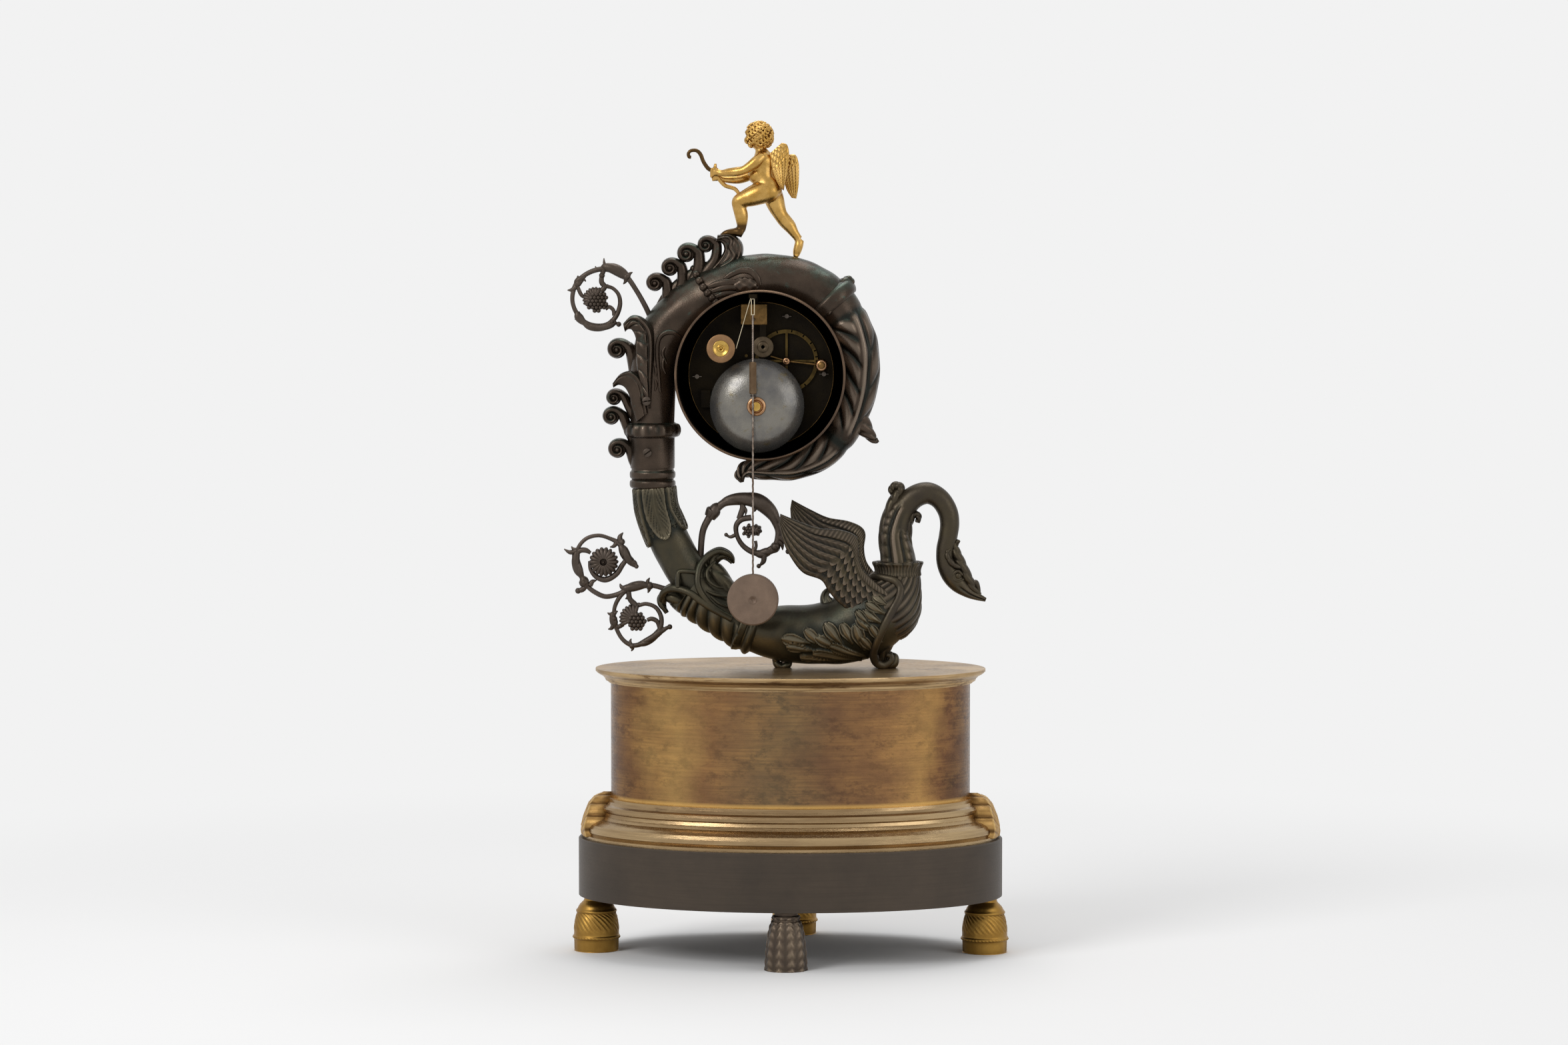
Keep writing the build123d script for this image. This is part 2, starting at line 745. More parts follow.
with BuildPart() as crest:
    for volute_px in crest_volutes_px:
        volute(*volute_px)
    photo_form(crest_leaf_px)
    for bead_px, bead_py, bead_depth_px in beads_px:
        bead_x, bead_z = from_photo(bead_px, bead_py)
        with Locations((bead_x, bead_depth_px * photo_scale, bead_z)):
            Sphere(bead_radius)
    add(horn_curl.part, mode=Mode.SUBTRACT)
    drum_room()
save(crest, "crest")

with BuildPart() as side_ornaments:
    for volute_px in side_volutes_px:
        volute(*volute_px)
    photo_slab(upper_side_leaf_px, side_leaf_thickness, side_leaf_depth)
    photo_slab(lower_side_leaf_px, side_leaf_thickness, side_leaf_depth)
    add(horn_curl.part, mode=Mode.SUBTRACT)
    add(trimmed_sleeve.part, mode=Mode.SUBTRACT)
save(side_ornaments, "side_ornaments")

# Swan's neck with its collar and head, and the two wings

neck_px = [
    (1347, 845, 54), (1347, 839, 53), (1342.5, 806, 46), (1346, 785, 41), (1355, 763, 37),
    (1371, 746, 34.5), (1391, 739.7, 33), (1409, 748, 31), (1421, 766, 30), (1424.5, 785, 29),
    (1422, 806, 28), (1418, 825, 27), (1419, 845, 27.5), (1427, 862, 30), (1438, 876, 27),
    (1451, 887, 19), (1464, 894, 13), (1479, 900, 6),
]
neck_leaf_px = [(1335, 845, 18), (1335, 838, 20), (1332, 800, 26), (1338, 768, 26), (1350, 744, 20),
                (1347, 734, 13), (1338, 738, 5)]
inner_neck_leaf_px = [(1361, 845, 18), (1361, 838, 20), (1357, 806, 24), (1360, 786, 20),
                      (1368, 776, 13), (1376, 783, 4)]
head_leaf_px = [(1462, 888, 8), (1450, 872, 13), (1440, 852, 16), (1432, 832, 14), (1432, 819, 10),
                (1438, 818, 5)]
neck_collar_px = (1346.8, 856)

with BuildPart() as swan_neck:
    for neck_part_px in (neck_px, neck_leaf_px, inner_neck_leaf_px, head_leaf_px):
        photo_form(neck_part_px)
    collar_x, collar_z = from_photo(*neck_collar_px)
    upright_turning(collar_x, 0, [
        (0, collar_z - neck_collar_height / 2),
        (neck_collar_radius - ring_swell, collar_z - neck_collar_height / 2),
        (neck_collar_radius, collar_z - neck_collar_height / 3),
        (neck_collar_radius - ring_swell / 2, collar_z + neck_collar_height / 4),
        (neck_collar_radius, collar_z + neck_collar_height / 2),
        (0, collar_z + neck_collar_height / 2)])
    add(horn_body.part, mode=Mode.SUBTRACT)
    add(swan_breast.part, mode=Mode.SUBTRACT)
    add(breast_band.part, mode=Mode.SUBTRACT)
save(swan_neck, "swan_neck")

wing_outline_px = [
    (1338, 890), (1319, 874), (1296, 851), (1289, 831), (1288, 809), (1280, 796), (1262, 788),
    (1234, 783), (1201, 775), (1171, 762), (1169, 778), (1177, 804), (1191, 832), (1208, 851),
    (1228, 862), (1241, 881), (1257, 901), (1286, 925), (1312, 930), (1336, 912),
]
wing_root_px = (1330, 905)
near_side, far_side = -1, 1


def wing(side, lift):
    """Wing plate that stands off one side of the body, spread outwards and lifted about its root."""
    root_x, root_z = from_photo(*wing_root_px)
    root = Axis((root_x, side * wing_gap, root_z), (0, 1, 0))
    lean = Axis((root_x, side * wing_gap, root_z), (0.9, 0, 0.45))
    with BuildPart() as plate:
        photo_slab(wing_outline_px, wing_thickness, side * wing_gap)
    return plate.part.rotate(root, lift).rotate(lean, -side * wing_spread)


for wing_name, side, lift in (("wing_near", near_side, 0), ("wing_far", far_side, far_wing_lift)):
    with BuildPart() as swan_wing:
        add(wing(side, lift))
        for carrier in (horn_body, swan_breast, breast_band, swan_neck):
            add(carrier.part, mode=Mode.SUBTRACT)
    save(swan_wing, wing_name)

# Pierced scrolls: rods that curl into rings, with a cluster or a rosette in the middle

top_scroll_px = [
    (990, 500, 9), (978, 481, 8), (968, 460, 8), (955, 437, 8), (941, 417, 9), (925, 406, 11),
    (905, 404, 9), (885, 409, 8), (868, 421, 8), (860, 437, 8), (859, 455, 8), (866, 472, 8),
    (879, 485, 8), (896, 490, 9), (912, 487, 8), (924, 475, 8), (930, 458, 8), (928, 443, 7),
    (919, 433, 7), (908, 430, 7),
]
top_cluster_px = ((893, 450), 17.5)
top_stub_px = [(907, 405, 7), (903, 420, 7), (900, 438, 8)]
lower_scroll_px = [
    (1014, 890, 8), (995, 883, 8), (976, 879, 9), (951, 882, 10), (937, 887, 8), (923, 893, 8),
    (907, 895, 8), (893, 891, 8), (881, 882, 8), (872, 869, 8), (866, 855, 9), (864, 838, 9),
    (868, 823, 8), (880, 811, 7), (897, 807, 7), (914, 810, 7), (927, 816, 9), (935, 827, 9),
    (937, 840, 8), (933, 852, 7), (923, 863, 7), (908, 868, 7),
]
rosette_px = ((904.8, 844.2), 20.7)
rosette_stub_px = [(866, 836, 6), (876, 830, 7), (890, 834, 7)]
scroll_tip_px = [(866, 850, 9), (859, 836, 8), (849, 828, 4)]
grape_ring_px = [
    (946, 884, 8), (928, 898, 7), (920, 920, 7), (923, 943, 7), (932, 960, 7), (947, 970, 7),
    (964, 970, 8), (978, 961, 8), (988, 948, 7), (991, 931, 7), (987, 918, 7), (978, 910, 7),
    (966, 908, 7), (956, 912, 6),
]
grape_cluster_px = ((951.5, 932), 19)
grape_stub_px = [(943, 890, 7), (948, 905, 7), (952, 920, 7)]
inner_scroll_px = [
    (1050, 866, 10), (1052.5, 836, 9.5), (1055, 800, 10), (1067, 770, 13), (1086, 754, 13),
    (1113, 749, 15), (1141, 755, 16), (1160, 773, 14), (1168, 795, 12), (1163, 817, 11),
    (1150, 829, 11), (1132, 828, 9), (1116, 819, 8), (1106, 805, 7), (1105, 790, 8), (1114, 779, 9),
    (1127, 777, 8),
]
berry_px = ((1131.7, 797), 17.4)
cluster_thickness = 10.0


def cluster(middle_px, radius_px):
    """Thick round lens in the middle of a scroll."""
    edge = radius_px * photo_scale
    reach = cluster_thickness / 2
    turning(from_photo(*middle_px), [
        (0, -reach), (edge * 0.6, -reach * 0.85), (edge * 0.9, -reach * 0.45), (edge, 0),
        (edge * 0.9, reach * 0.45), (edge * 0.6, reach * 0.85), (0, reach)])


with BuildPart() as top_scroll:
    photo_form(top_scroll_px)
    photo_form(top_stub_px)
    cluster(*top_cluster_px)
    for carrier in (horn_curl, side_ornaments, crest):
        add(carrier.part, mode=Mode.SUBTRACT)
save(top_scroll, "top_scroll")

with BuildPart() as lower_scroll:
    for scroll_px in (lower_scroll_px, rosette_stub_px, scroll_tip_px, grape_ring_px, grape_stub_px):
        photo_form(scroll_px)
    cluster(*rosette_px)
    cluster(*grape_cluster_px)
    for carrier in (horn_tube, acanthus_cup):
        add(carrier.part, mode=Mode.SUBTRACT)
save(lower_scroll, "lower_scroll")

with BuildPart() as inner_scroll:
    photo_form(inner_scroll_px)
    cluster(*berry_px)
    for carrier in (horn_tube, acanthus_cup):
        add(carrier.part, mode=Mode.SUBTRACT)
save(inner_scroll, "inner_scroll")

# Archer with wings and bow

head_px = (1138.6, 205)
torso_px = [(1143, 218, 15), (1144, 227, 20), (1145, 236, 32), (1148, 252, 33), (1153, 268, 31),
            (1157, 284, 35), (1158, 297, 26)]
near_arm_px = [(1143, 236, 14, -12), (1130, 243, 14, -18), (1113, 256, 12.5, -17),
               (1094, 259, 11, -10), (1073, 262, 10, -3)]
far_arm_px = [(1145, 240, 14, 12), (1137, 256, 12, 17), (1124, 268, 12, 13), (1104, 271, 10.5, 7),
              (1076, 264, 9, 1)]
front_leg_px = [(1157, 290, 28, -7), (1136, 293, 26, -9), (1116, 301, 21, -8), (1108, 312, 18, -7),
                (1112, 328, 18, -6), (1109, 342, 13, -5), (1105, 353, 12, -5)]
front_foot_px = [(1112, 351, 12, -5), (1099, 353, 12, -5), (1086, 355, 7, -5)]
rear_leg_px = [(1160, 292, 28, 6), (1168, 312, 24, 8), (1174, 331, 18, 8), (1186, 347, 16, 7),
               (1195, 361, 12, 6), (1197, 374, 12, 6), (1194, 389, 9, 5)]
near_wing_px = [(1152, 234), (1165, 226), (1175, 217), (1180, 224), (1182, 242), (1181, 264),
                (1176, 285), (1170, 276), (1163, 260), (1155, 248)]
far_wing_px = [(1154, 236), (1172, 236), (1186, 232), (1196, 240), (1198, 262), (1195, 290),
               (1188, 298), (1183, 284), (1176, 264), (1158, 250)]
bow_px = [(1034, 240, 4), (1036, 231, 5), (1043, 227, 6), (1050, 234, 6), (1057, 246, 6),
          (1066, 256, 6), (1075, 264, 6), (1083, 274, 6), (1092, 281, 5.5), (1102, 284, 5),
          (1109, 289, 4.5), (1112, 295, 3)]

with BuildPart() as archer:
    for limb_px in (torso_px, near_arm_px, far_arm_px, front_leg_px, front_foot_px, rear_leg_px):
        photo_form(limb_px)
    head_x, head_z = from_photo(*head_px)
    with Locations((head_x, 0, head_z)):
        Sphere(head_radius)
    for carrier in (horn_curl, crest):
        add(carrier.part, mode=Mode.SUBTRACT)
save(archer, "archer")

with BuildPart() as archer_wings:
    photo_slab(near_wing_px, wing_plate, -hip_depth)
    photo_slab(far_wing_px, wing_plate, hip_depth)
    add(archer.part, mode=Mode.SUBTRACT)
save(archer_wings, "archer_wings")

with BuildPart() as bow:
    photo_form(bow_px)
    add(archer.part, mode=Mode.SUBTRACT)
save(bow, "bow")

# Screws that hold the horn together, seen from the back

screw_spots_px = [((973.6, 677.7), 14.6), ((972.5, 602), 16.5)]

with BuildPart() as horn_screws:
    for screw_px, face in screw_spots_px:
        drum_bar(from_photo(*screw_px), screw_radius, -face - screw_height, -screw_radius)
    add(horn_curl.part, mode=Mode.SUBTRACT)
    add(trimmed_sleeve.part, mode=Mode.SUBTRACT)
    add(side_ornaments.part, mode=Mode.SUBTRACT)
save(horn_screws, "horn_screws")

# Drum case with the hinge lugs and pin of the dial door

dial_front = drum_front + dial_thickness
door_back = dial_front + door_gap
door_front = door_back + door_height
glass_front = door_front - door_ring_width / 4
ring_inner = drum_radius + door_overhang - door_ring_width
ring_outer = drum_radius + door_overhang
hinge_x = drum_x + drum_radius + hinge_overhang
hinge_y = door_back + hinge_rise
lug_starts = (knuckle_length / 2 + knuckle_gap, -knuckle_length / 2 - knuckle_gap - lug_length)
drum_centre = (drum_x, drum_z)


def hinge_rod(radius, foot, length, mode=Mode.ADD):
    """Upright rod on the hinge line, foot given from the middle of the drum."""
    with BuildSketch(Plane.XY.offset(drum_z + foot)) as section:
        with Locations((hinge_x, hinge_y)):
            Circle(radius)
    extrude(section.sketch, amount=length, mode=mode)


def hinge_block(x_start, x_end, y_start, y_end, foot, length):
    """Block beside the hinge line."""
    with BuildSketch(Plane.XY.offset(drum_z + foot)) as section:
        with Locations((x_start, y_start)):
            Rectangle(x_end - x_start, y_end - y_start, align=(Align.MIN, Align.MIN))
    extrude(section.sketch, amount=length)


with BuildPart() as drum_case:
    wall_inner = drum_radius - drum_wall
    turning(drum_centre, [
        (wall_inner, drum_back), (drum_radius - rim_bead, drum_back), (drum_radius, drum_back + rim_bead),
        (drum_radius, drum_front), (wall_inner - dial_ledge, drum_front),
        (wall_inner - dial_ledge, drum_front - hinge_arm), (wall_inner, drum_front - hinge_arm)])
    for lug_foot in lug_starts:
        hinge_block(drum_x + wall_inner, hinge_x + hinge_radius, drum_front - hinge_arm, drum_front,
                    lug_foot, lug_length)
        hinge_block(hinge_x - hinge_radius, hinge_x + hinge_radius, drum_front - hinge_arm, hinge_y,
                    lug_foot, lug_length)
        hinge_rod(hinge_radius, lug_foot, lug_length)
    hinge_rod(hinge_pin_radius, lug_starts[1], lug_starts[0] - lug_starts[1] + lug_length)
save(drum_case, "drum_case")

with BuildPart() as door_frame:
    turning(drum_centre, [
        (ring_inner, door_back), (ring_outer, door_back), (ring_outer, door_back + door_height / 2),
        (ring_outer - door_ring_width / 4, door_front), (ring_inner + door_ring_width / 4, door_front),
        (ring_inner, glass_front), (ring_inner + glass_seat, glass_front),
        (ring_inner + glass_seat, glass_front - glass_thickness),
        (ring_inner, glass_front - glass_thickness)])
    hinge_block(drum_x + ring_outer - door_ring_width / 4, hinge_x, door_back, door_back + hinge_leaf,
                -knuckle_length / 2, knuckle_length)
    hinge_rod(hinge_radius, -knuckle_length / 2, knuckle_length)
    hinge_rod(hinge_pin_radius + hinge_fit, -knuckle_length / 2, knuckle_length, Mode.SUBTRACT)
save(door_frame, "door_frame")

with BuildPart() as door_glass:
    drum_bar(drum_centre, ring_inner + glass_seat, glass_front - glass_thickness, glass_front)
save(door_glass, "door_glass")

# Places of the arbors in the movement

axis_spot = (0, 0)
barrel_pitch = pitch_radius(barrel_teeth, barrel_module)


def stepped(start, way, distance):
    """Place at a distance from start along a direction."""
    share = distance / hypot(*way)
    return start[0] + way[0] * share, start[1] + way[1] * share


going_spot = stepped(axis_spot, going_barrel_way,
                     barrel_pitch + pitch_radius(centre_pinion_teeth, barrel_module))
strike_spot = stepped(count_spot, strike_barrel_way,
                      barrel_pitch + pitch_radius(count_pinion_teeth, barrel_module))
third_spot = third_corner(
    axis_spot, escape_spot,
    pitch_radius(centre_teeth, train_module) + pitch_radius(third_pinion_teeth, train_module),
    pitch_radius(third_teeth, escape_module) + pitch_radius(escape_pinion_teeth, escape_module))
anchor_spot = (swing_across, anchor_height)
centre, going, strike, third, escape, count, anchor_place, minute_place, reel_place, bell_place = (
    in_drum(*spot) for spot in (axis_spot, going_spot, strike_spot, third_spot, escape_spot, count_spot,
                                anchor_spot, minute_spot, reel_spot, bell_spot))
thin_arbors = [centre, third, escape, count, anchor_place]

# Dial, plates and pillars

with BuildPart() as dial:
    drum_bar(centre, wall_inner, drum_front, dial_front)
    with BuildSketch(at_depth(drum_front)) as dial_feet:
        with Locations(centre):
            with PolarLocations(pillar_spots[1][0], 3, start_angle=45):
                Circle(dial_foot_radius)
    extrude(dial_feet.sketch, amount=drum_front - front_plate_face)
    drum_bar(centre, dial_hole, drum_front, dial_front, Mode.SUBTRACT)
    for barrel_place in (going, strike):
        drum_bar(barrel_place, winding_hole, drum_front, dial_front, Mode.SUBTRACT)
save(dial, "dial")


def plate(back, spots):
    """Round movement plate with its pivot holes."""
    front = back + plate_thickness
    drum_bar(centre, plate_radius, back, front)
    for spot in spots:
        drum_bar(spot, arbor_radius + pivot_fit, back, front, Mode.SUBTRACT)
    for spot in (going, strike):
        drum_bar(spot, winding_arbor_radius + pivot_fit, back, front, Mode.SUBTRACT)
    for spot in pillar_spots:
        drum_bar(in_drum(*spot), pillar_pivot_radius + pivot_fit, back, front, Mode.SUBTRACT)


with BuildPart() as front_plate:
    plate(front_plate_back, thin_arbors)
    drum_bar(minute_place, arbor_radius, front_plate_face, front_plate_face + minute_stud)
save(front_plate, "front_plate")

with BuildPart() as back_plate:
    plate(back_plate_depth, thin_arbors + [reel_place])
    with BuildSketch(at_depth(back_plate_depth)) as lug_face:
        with Locations(in_drum(*lug_block_middle)):
            Rectangle(lug_block_width, lug_block_height)
    extrude(lug_face.sketch, amount=lug_block_depth)
save(back_plate, "back_plate")

with BuildPart() as pillars:
    for spot in pillar_spots:
        pillar = in_drum(*spot)
        drum_bar(pillar, pillar_radius, plate_face, front_plate_back)
        drum_bar(pillar, pillar_pivot_radius, back_plate_depth - pillar_end,
                 front_plate_face + pillar_front_end)
        with BuildSketch(Plane.YZ.offset(pillar[0] - taper_pin_length / 2)) as pin:
            with Locations((back_plate_depth - taper_pin_radius - stem_gap, pillar[1])):
                Circle(taper_pin_radius)
        extrude(pin.sketch, amount=taper_pin_length)
save(pillars, "pillars")

# Going train: barrel, centre wheel, third wheel, escape wheel, pallets with the crutch


def rim_inner(teeth, module):
    return pitch_radius(teeth, module) - tooth_fall_share * module - wheel_rim


def crossed_wheel(place, partner, teeth, module, back, gap_first):
    """Thin wheel with teeth, a rim, four arms and a hub."""
    toothed_disc(place, partner, teeth, module, back, back + wheel_thickness, gap_first)
    crossings(place, rim_inner(teeth, module), hub_radius, 4, back, back + wheel_thickness)


def barrel(place, partner, drum_start, flange_start, flange_length):
    """Spring barrel with a toothed flange and a squared winding arbor."""
    drum_bar(place, barrel_drum_radius, drum_start, drum_start + barrel_length)
    toothed_disc(place, partner, barrel_teeth, barrel_module, flange_start, flange_start + flange_length)
    drum_bar(place, winding_arbor_radius, back_plate_depth, front_plate_face)
    with BuildSketch(at_depth(dial_front)) as square:
        with Locations(place):
            Rectangle(winding_square, winding_square)
    extrude(square.sketch, amount=dial_front - front_plate_face)


flange_back = going_flange_front - flange_thickness

with BuildPart() as going_barrel:
    barrel(going, centre, going_flange_front - barrel_length, flange_back, flange_thickness)
save(going_barrel, "going_barrel")

arbor_tip = dial_front + hand_start_gap + 2 * hand_thickness + 2 * hand_gap
cannon_back = front_plate_face + motion_gap
cannon_front = cannon_back + motion_thickness

with BuildPart() as centre_wheel:
    drum_bar(centre, arbor_radius, back_plate_depth, arbor_tip)
    toothed_disc(centre, going, centre_pinion_teeth, barrel_module, flange_back - pinion_margin,
                 going_flange_front + pinion_margin, True)
    crossed_wheel(centre, third, centre_teeth, train_module, centre_wheel_back, False)
    toothed_disc(centre, minute_place, cannon_teeth, motion_module, cannon_back, cannon_front, True)
save(centre_wheel, "centre_wheel")

third_pinion_back = centre_wheel_back - pinion_margin
escape_pinion_back = third_wheel_back - pinion_margin

with BuildPart() as third_wheel:
    drum_bar(third, arbor_radius, back_plate_depth, front_plate_face)
    toothed_disc(third, centre, third_pinion_teeth, train_module, third_pinion_back,
                 third_pinion_back + wheel_thickness + 2 * pinion_margin, True)
    crossed_wheel(third, escape, third_teeth, escape_module, third_wheel_back, False)
save(third_wheel, "third_wheel")

with BuildPart() as escape_wheel:
    drum_bar(escape, arbor_radius, back_plate_depth, front_plate_face)
    toothed_disc(escape, third, escape_pinion_teeth, escape_module, escape_pinion_back,
                 escape_pinion_back + wheel_thickness + 2 * pinion_margin, True)
    teeth_corners = []
    for tooth in range(escape_teeth):
        root_turn = tooth * 2 * pi / escape_teeth
        tip_turn = (tooth + escape_tooth_lean) * 2 * pi / escape_teeth
        for reach, turn in ((escape_radius - escape_tooth_height, root_turn), (escape_radius, tip_turn)):
            teeth_corners.append((escape[0] + reach * cos(turn), escape[1] + reach * sin(turn)))
    with BuildSketch(at_depth(escape_wheel_back + wheel_thickness)) as escape_teeth_face:
        with BuildLine():
            Polyline(*teeth_corners, close=True)
        make_face()
    extrude(escape_teeth_face.sketch, amount=wheel_thickness)
    crossings(escape, escape_radius - escape_tooth_height - wheel_rim / 2, hub_radius, 4,
              escape_wheel_back, escape_wheel_back + wheel_thickness)
save(escape_wheel, "escape_wheel")

pendulum_x = drum_x + swing_across
crutch_z = drum_z + crutch_foot
fork_spread = rod_radius + crutch_slack + crutch_radius

with BuildPart() as anchor:
    drum_bar(anchor_place, arbor_radius, crutch_depth - crutch_radius, front_plate_face)
    drum_bar(anchor_place, hub_radius, escape_wheel_back, escape_wheel_back + wheel_thickness)
    band_inner = escape_radius + anchor_clearance
    band_outer = band_inner + anchor_band
    lean = atan2(anchor_place[1] - escape[1], anchor_place[0] - escape[0])
    between = hypot(anchor_place[0] - escape[0], anchor_place[1] - escape[1])
    with BuildSketch(at_depth(escape_wheel_back + wheel_thickness)) as pallets:
        with Locations(Location((*escape, 0), (0, 0, degrees(lean)))):
            Circle(band_outer)
            Circle(band_inner, mode=Mode.SUBTRACT)
            with Locations((band_outer * cos(radians(anchor_half_turn)), 0)):
                Rectangle(band_outer * 2, band_outer * 2, align=(Align.MAX, Align.CENTER),
                          mode=Mode.SUBTRACT)
            with Locations((band_outer - anchor_band / 2, 0)):
                Rectangle(between - band_outer, anchor_link, align=(Align.MIN, Align.CENTER))
    extrude(pallets.sketch, amount=wheel_thickness)
    with BuildSketch(Plane.XY.offset(crutch_z)) as crutch_wire:
        with Locations((pendulum_x, crutch_depth)):
            Circle(crutch_radius)
    extrude(crutch_wire.sketch, amount=anchor_place[1] - crutch_z)
    with BuildSketch(Plane.YZ.offset(pendulum_x - fork_spread - crutch_radius)) as fork_bar:
        with Locations((crutch_depth, crutch_z)):
            Circle(crutch_radius)
    extrude(fork_bar.sketch, amount=2 * (fork_spread + crutch_radius))
    for side in (-1, 1):
        drum_bar((pendulum_x + side * fork_spread, crutch_z), crutch_radius,
                 rod_depth - 2 * rod_radius, crutch_depth)
save(anchor, "anchor")

# Motion work and hands

minute_pinion_back = cannon_front
hour_back = minute_pinion_back + motion_thickness
hour_hand_back = dial_front + hand_start_gap
minute_hand_back = hour_hand_back + hand_thickness + hand_gap

with BuildPart() as minute_wheel:
    toothed_disc(minute_place, centre, minute_teeth, motion_module, cannon_back, cannon_front)
    toothed_disc(minute_place, centre, minute_pinion_teeth, hour_module, minute_pinion_back,
                 hour_back + motion_thickness + pinion_margin, True)
    drum_bar(minute_place, arbor_radius + pivot_fit, cannon_back,
             hour_back + motion_thickness + pinion_margin, Mode.SUBTRACT)
save(minute_wheel, "minute_wheel")

with BuildPart() as hour_wheel:
    toothed_disc(centre, minute_place, hour_teeth, hour_module, hour_back, hour_back + motion_thickness)
    drum_bar(centre, pipe_radius, hour_back, hour_back + pipe_length)
    drum_bar(centre, arbor_radius + pivot_fit, hour_back, hour_back + pipe_length, Mode.SUBTRACT)
save(hour_wheel, "hour_wheel")


def hand(length, boss, bore, back, turn):
    """Pierced hand that points up, turned clockwise as seen from the dial side."""
    ring_height = centre[1] + length * hand_ring_share
    with BuildSketch(at_depth(back + hand_thickness)) as face:
        with Locations(centre):
            Circle(boss)
        with BuildLine():
            Polyline((centre[0] - hand_width / 2, centre[1]),
                     (centre[0] - hand_width * hand_point_share, ring_height),
                     (centre[0], centre[1] + length), (centre[0] + hand_width * hand_point_share, ring_height),
                     (centre[0] + hand_width / 2, centre[1]), close=True)
        make_face()
        with Locations((centre[0], ring_height)):
            Circle(hand_ring_radius)
            Circle(hand_ring_radius / 2, mode=Mode.SUBTRACT)
        with Locations(centre):
            Circle(bore, mode=Mode.SUBTRACT)
    solid = extrude(face.sketch, amount=hand_thickness)
    return solid.rotate(Axis((centre[0], 0, centre[1]), (0, 1, 0)), turn)


with BuildPart() as hour_hand:
    add(hand(hour_hand_length, hour_boss_radius, pipe_radius, hour_hand_back, -hour_hand_turn))
save(hour_hand, "hour_hand")

with BuildPart() as minute_hand:
    add(hand(minute_hand_length, hand_boss_radius, arbor_radius, minute_hand_back, 0))
save(minute_hand, "minute_hand")

# Striking side: barrel, count wheel and hammer

with BuildPart() as strike_barrel:
    barrel(strike, count, strike_flange_back + strike_flange_thickness, strike_flange_back,
           strike_flange_thickness)
save(strike_barrel, "strike_barrel")

count_front = back_plate_depth - count_gap
count_back = count_front - count_thickness
hammer_hub_back = hammer_arm_depth - hammer_hub_length / 2

with BuildPart() as count_wheel:
    drum_bar(count, arbor_radius, hammer_hub_back, front_plate_face)
    toothed_disc(count, strike, count_pinion_teeth, barrel_module, strike_flange_back - pinion_margin,
                 strike_flange_back + strike_flange_thickness + pinion_margin, True)
    drum_bar(count, count_radius, count_back, count_front)
    crossings(count, count_radius - wheel_rim, hub_radius, 4, count_back, count_front)
    for notch in range(count_notches):
        steps = notch + notch * (notch + 1) / 2
        turn = 2 * pi * steps / count_steps
        with BuildSketch(at_depth(count_front)) as slot:
            with Locations(Location((*count, 0), (0, 0, degrees(turn)))):
                with Locations((count_radius - notch_depth, 0)):
                    Rectangle(notch_depth * 2, notch_width, align=(Align.MIN, Align.CENTER))
        extrude(slot.sketch, amount=count_thickness, mode=Mode.SUBTRACT)
save(count_wheel, "count_wheel")


def drum_rod(start, end, depth, radius):
    """Round rod between two places at one depth."""
    heading = Vector(end[0] - start[0], 0, end[1] - start[1])
    with BuildSketch(Plane(origin=(start[0], depth, start[1]), z_dir=heading)) as section:
        Circle(radius)
    extrude(section.sketch, amount=heading.length)


with BuildPart() as hammer:
    drum_bar(count, hub_radius, hammer_hub_back, hammer_hub_back + hammer_hub_length)
    ball = (count[0] + (hammer_reach**2 - hammer_droop**2) ** 0.5, count[1] - hammer_droop)
    drum_rod(count, ball, hammer_arm_depth, hammer_arm_radius)
    drum_rod(count, (count[0] + hammer_tail[0], count[1] + hammer_tail[1]), hammer_arm_depth,
             hammer_arm_radius)
    with Locations((ball[0], hammer_arm_depth - hammer_ball_back, ball[1])):
        Sphere(hammer_ball_radius)
    drum_bar(count, arbor_radius + pivot_fit, hammer_hub_back, hammer_hub_back + hammer_hub_length,
             Mode.SUBTRACT)
save(hammer, "hammer")

# Bell on its stand

rim_depth = back_plate_depth - bell_rim_gap
apex_depth = rim_depth - bell_depth
boss_back = apex_depth - bell_boss_radius / 3
bell_outer_shares = [(1, 0), (0.975, 0.15), (0.92, 0.35), (0.82, 0.56), (0.65, 0.78), (0.39, 0.95)]
bell_inner_shares = [(0.36, 0.98), (0.62, 0.77), (0.79, 0.54), (0.91, 0.32), (0.965, 0.12), (1, 0)]

with BuildPart() as bell:
    inner_radius, inner_depth = bell_radius - bell_wall, bell_depth - bell_wall
    turning(bell_place, [
        *[(r * bell_radius, rim_depth - d * bell_depth) for r, d in bell_outer_shares],
        (bell_boss_radius, apex_depth), (bell_boss_radius, boss_back), (bell_post_radius, boss_back),
        (bell_post_radius, rim_depth - inner_depth), (bell_boss_radius, rim_depth - inner_depth),
        *[(r * inner_radius, rim_depth - d * inner_depth) for r, d in bell_inner_shares]])
save(bell, "bell")

with BuildPart() as bell_stand:
    drum_bar(bell_place, bell_post_radius, boss_back - bell_nut_height, back_plate_depth)
    drum_bar(bell_place, bell_nut_radius, boss_back - bell_nut_height, boss_back)
    drum_bar(bell_place, bell_nut_radius, rim_depth - inner_depth, back_plate_depth)
save(bell_stand, "bell_stand")

# Suspension: cock, silk reel, silk, pendulum

cock_arm_foot = silk_top + thread_gap
plate_middle_up = anchor_height + cock_rise


def cock_block(across, up, width, height, front, length):
    """Block in the drum, its middle given from the drum's axis."""
    with BuildSketch(at_depth(front)) as section:
        with Locations(in_drum(across, up)):
            Rectangle(width, height)
    extrude(section.sketch, amount=length)


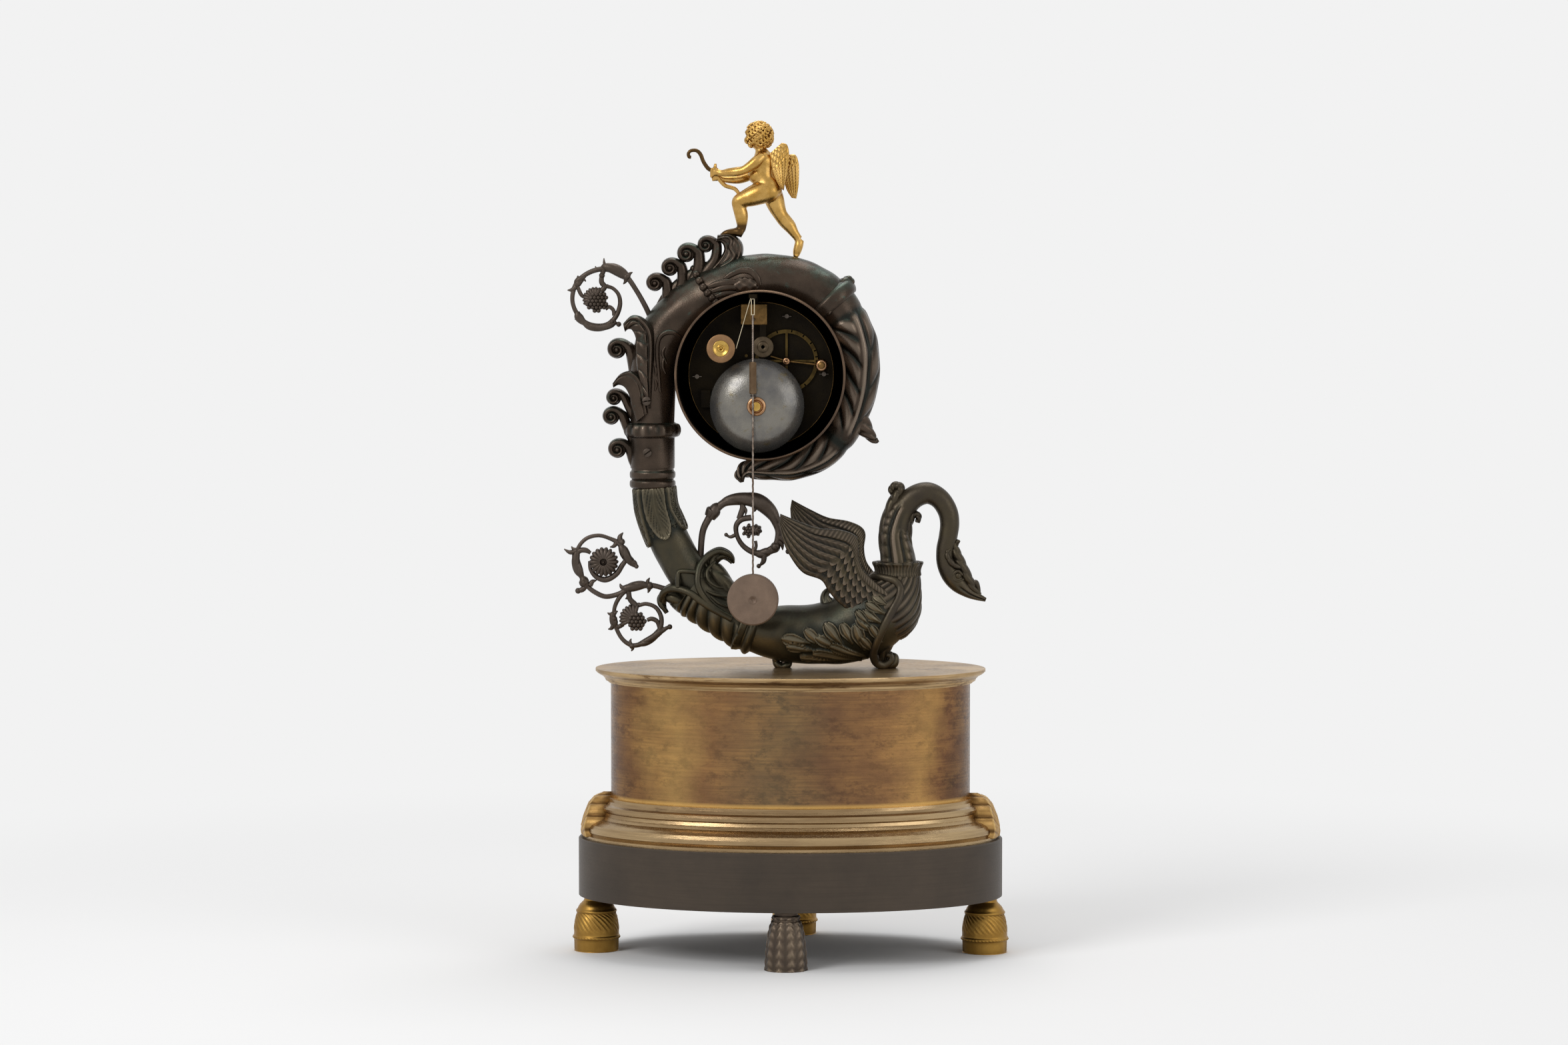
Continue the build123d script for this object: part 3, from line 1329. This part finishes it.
with BuildPart() as suspension_cock:
    cock_block(swing_across, plate_middle_up, cock_width, cock_height, back_plate_depth,
               cock_plate_thickness)
    arm_rise = cock_arm_foot + cock_arm_thickness - plate_middle_up
    cock_block(swing_across, plate_middle_up + arm_rise / 2, cock_arm_width, arm_rise, back_plate_depth,
               cock_plate_thickness)
    cock_block(swing_across, cock_arm_foot + cock_arm_thickness / 2, cock_arm_width, cock_arm_thickness,
               back_plate_depth, back_plate_depth - rod_depth + cock_arm_reach)
    bar_top = plate_middle_up
    bar_middle = (escape_spot[1] + bar_top) / 2
    bar_front = cock_disc_back + cock_disc_thickness
    cock_block(escape_spot[0], bar_middle, cock_bar_width, bar_top - escape_spot[1], bar_front,
               cock_disc_thickness)
    cock_block(escape_spot[0], bar_top - cock_bar_width / 2, cock_bar_width, cock_bar_width,
               back_plate_depth, back_plate_depth - cock_disc_back)
    drum_bar(escape, cock_disc_radius, cock_disc_back, bar_front)
    drum_bar(escape, cock_disc_radius / 2, cock_disc_back - cock_disc_thickness / 2, bar_front)
    drum_bar(anchor_place, arbor_radius + 2 * pivot_fit, rod_depth, back_plate_depth, Mode.SUBTRACT)
save(suspension_cock, "suspension_cock")

with BuildPart() as silk_reel:
    reel_back = reel_front - reel_thickness
    drum_bar(reel_place, reel_radius, reel_back, reel_front)
    drum_bar(reel_place, reel_hub_radius, reel_back - reel_hub_height, reel_back)
    drum_bar(reel_place, reel_stem_radius, reel_front, back_plate_depth - stem_gap)
    drum_bar(reel_place, arbor_radius, reel_front, plate_face)
save(silk_reel, "silk_reel")

with BuildPart() as silk_thread:
    thread_depth = (reel_front + reel_back) / 2
    reel_side = (reel_place[0] + reel_radius + thread_gap + thread_radius, reel_place[1])
    cock_side = in_drum(swing_across - cock_arm_width / 3, cock_arm_foot)
    drum_rod(reel_side, cock_side, thread_depth, thread_radius)
    add(suspension_cock.part, mode=Mode.SUBTRACT)
save(silk_thread, "silk_thread")

rod_place = (pendulum_x, drum_z + silk_top)
strip_top = silk_top - silk_length

with BuildPart() as silk_loop:
    with BuildSketch(at_depth(rod_depth + silk_thickness / 2)) as silk_face:
        with Locations(in_drum(swing_across, silk_top - silk_length / 2)):
            Rectangle(silk_width, silk_length)
            Rectangle(silk_width - 2 * silk_strand, silk_length - 2 * silk_strand, mode=Mode.SUBTRACT)
    extrude(silk_face.sketch, amount=silk_thickness)
save(silk_loop, "silk_loop")

bob_up = silk_top - pendulum_length

with BuildPart() as pendulum_rod:
    strip_foot = sleeve_top - sleeve_length / 2
    cock_block(swing_across, (strip_top + strip_foot) / 2, strip_width, strip_top - strip_foot,
               rod_depth + strip_thickness / 2, strip_thickness)
    cock_block(swing_across, sleeve_top - sleeve_length / 2, sleeve_width, sleeve_length,
               rod_depth + sleeve_depth / 2, sleeve_depth)
    with BuildSketch(Plane.XY.offset(drum_z + bob_up)) as rod_section:
        with Locations((pendulum_x, rod_depth)):
            Circle(rod_radius)
    extrude(rod_section.sketch, amount=strip_foot - bob_up)
save(pendulum_rod, "pendulum_rod")

with BuildPart() as pendulum_bob:
    bob_half = bob_thickness / 2
    bob_place = in_drum(swing_across, bob_up)
    turning(bob_place, [
        (0, rod_depth - bob_half), (bob_radius - bob_bevel, rod_depth - bob_half),
        (bob_radius, rod_depth - bob_half + bob_bevel), (bob_radius, rod_depth + bob_half - bob_bevel),
        (bob_radius - bob_bevel, rod_depth + bob_half), (0, rod_depth + bob_half)])
    drum_bar(bob_place, bob_hole, rod_depth - bob_half, rod_depth + bob_half, Mode.SUBTRACT)
    add(pendulum_rod.part, mode=Mode.SUBTRACT)
save(pendulum_bob, "pendulum_bob")
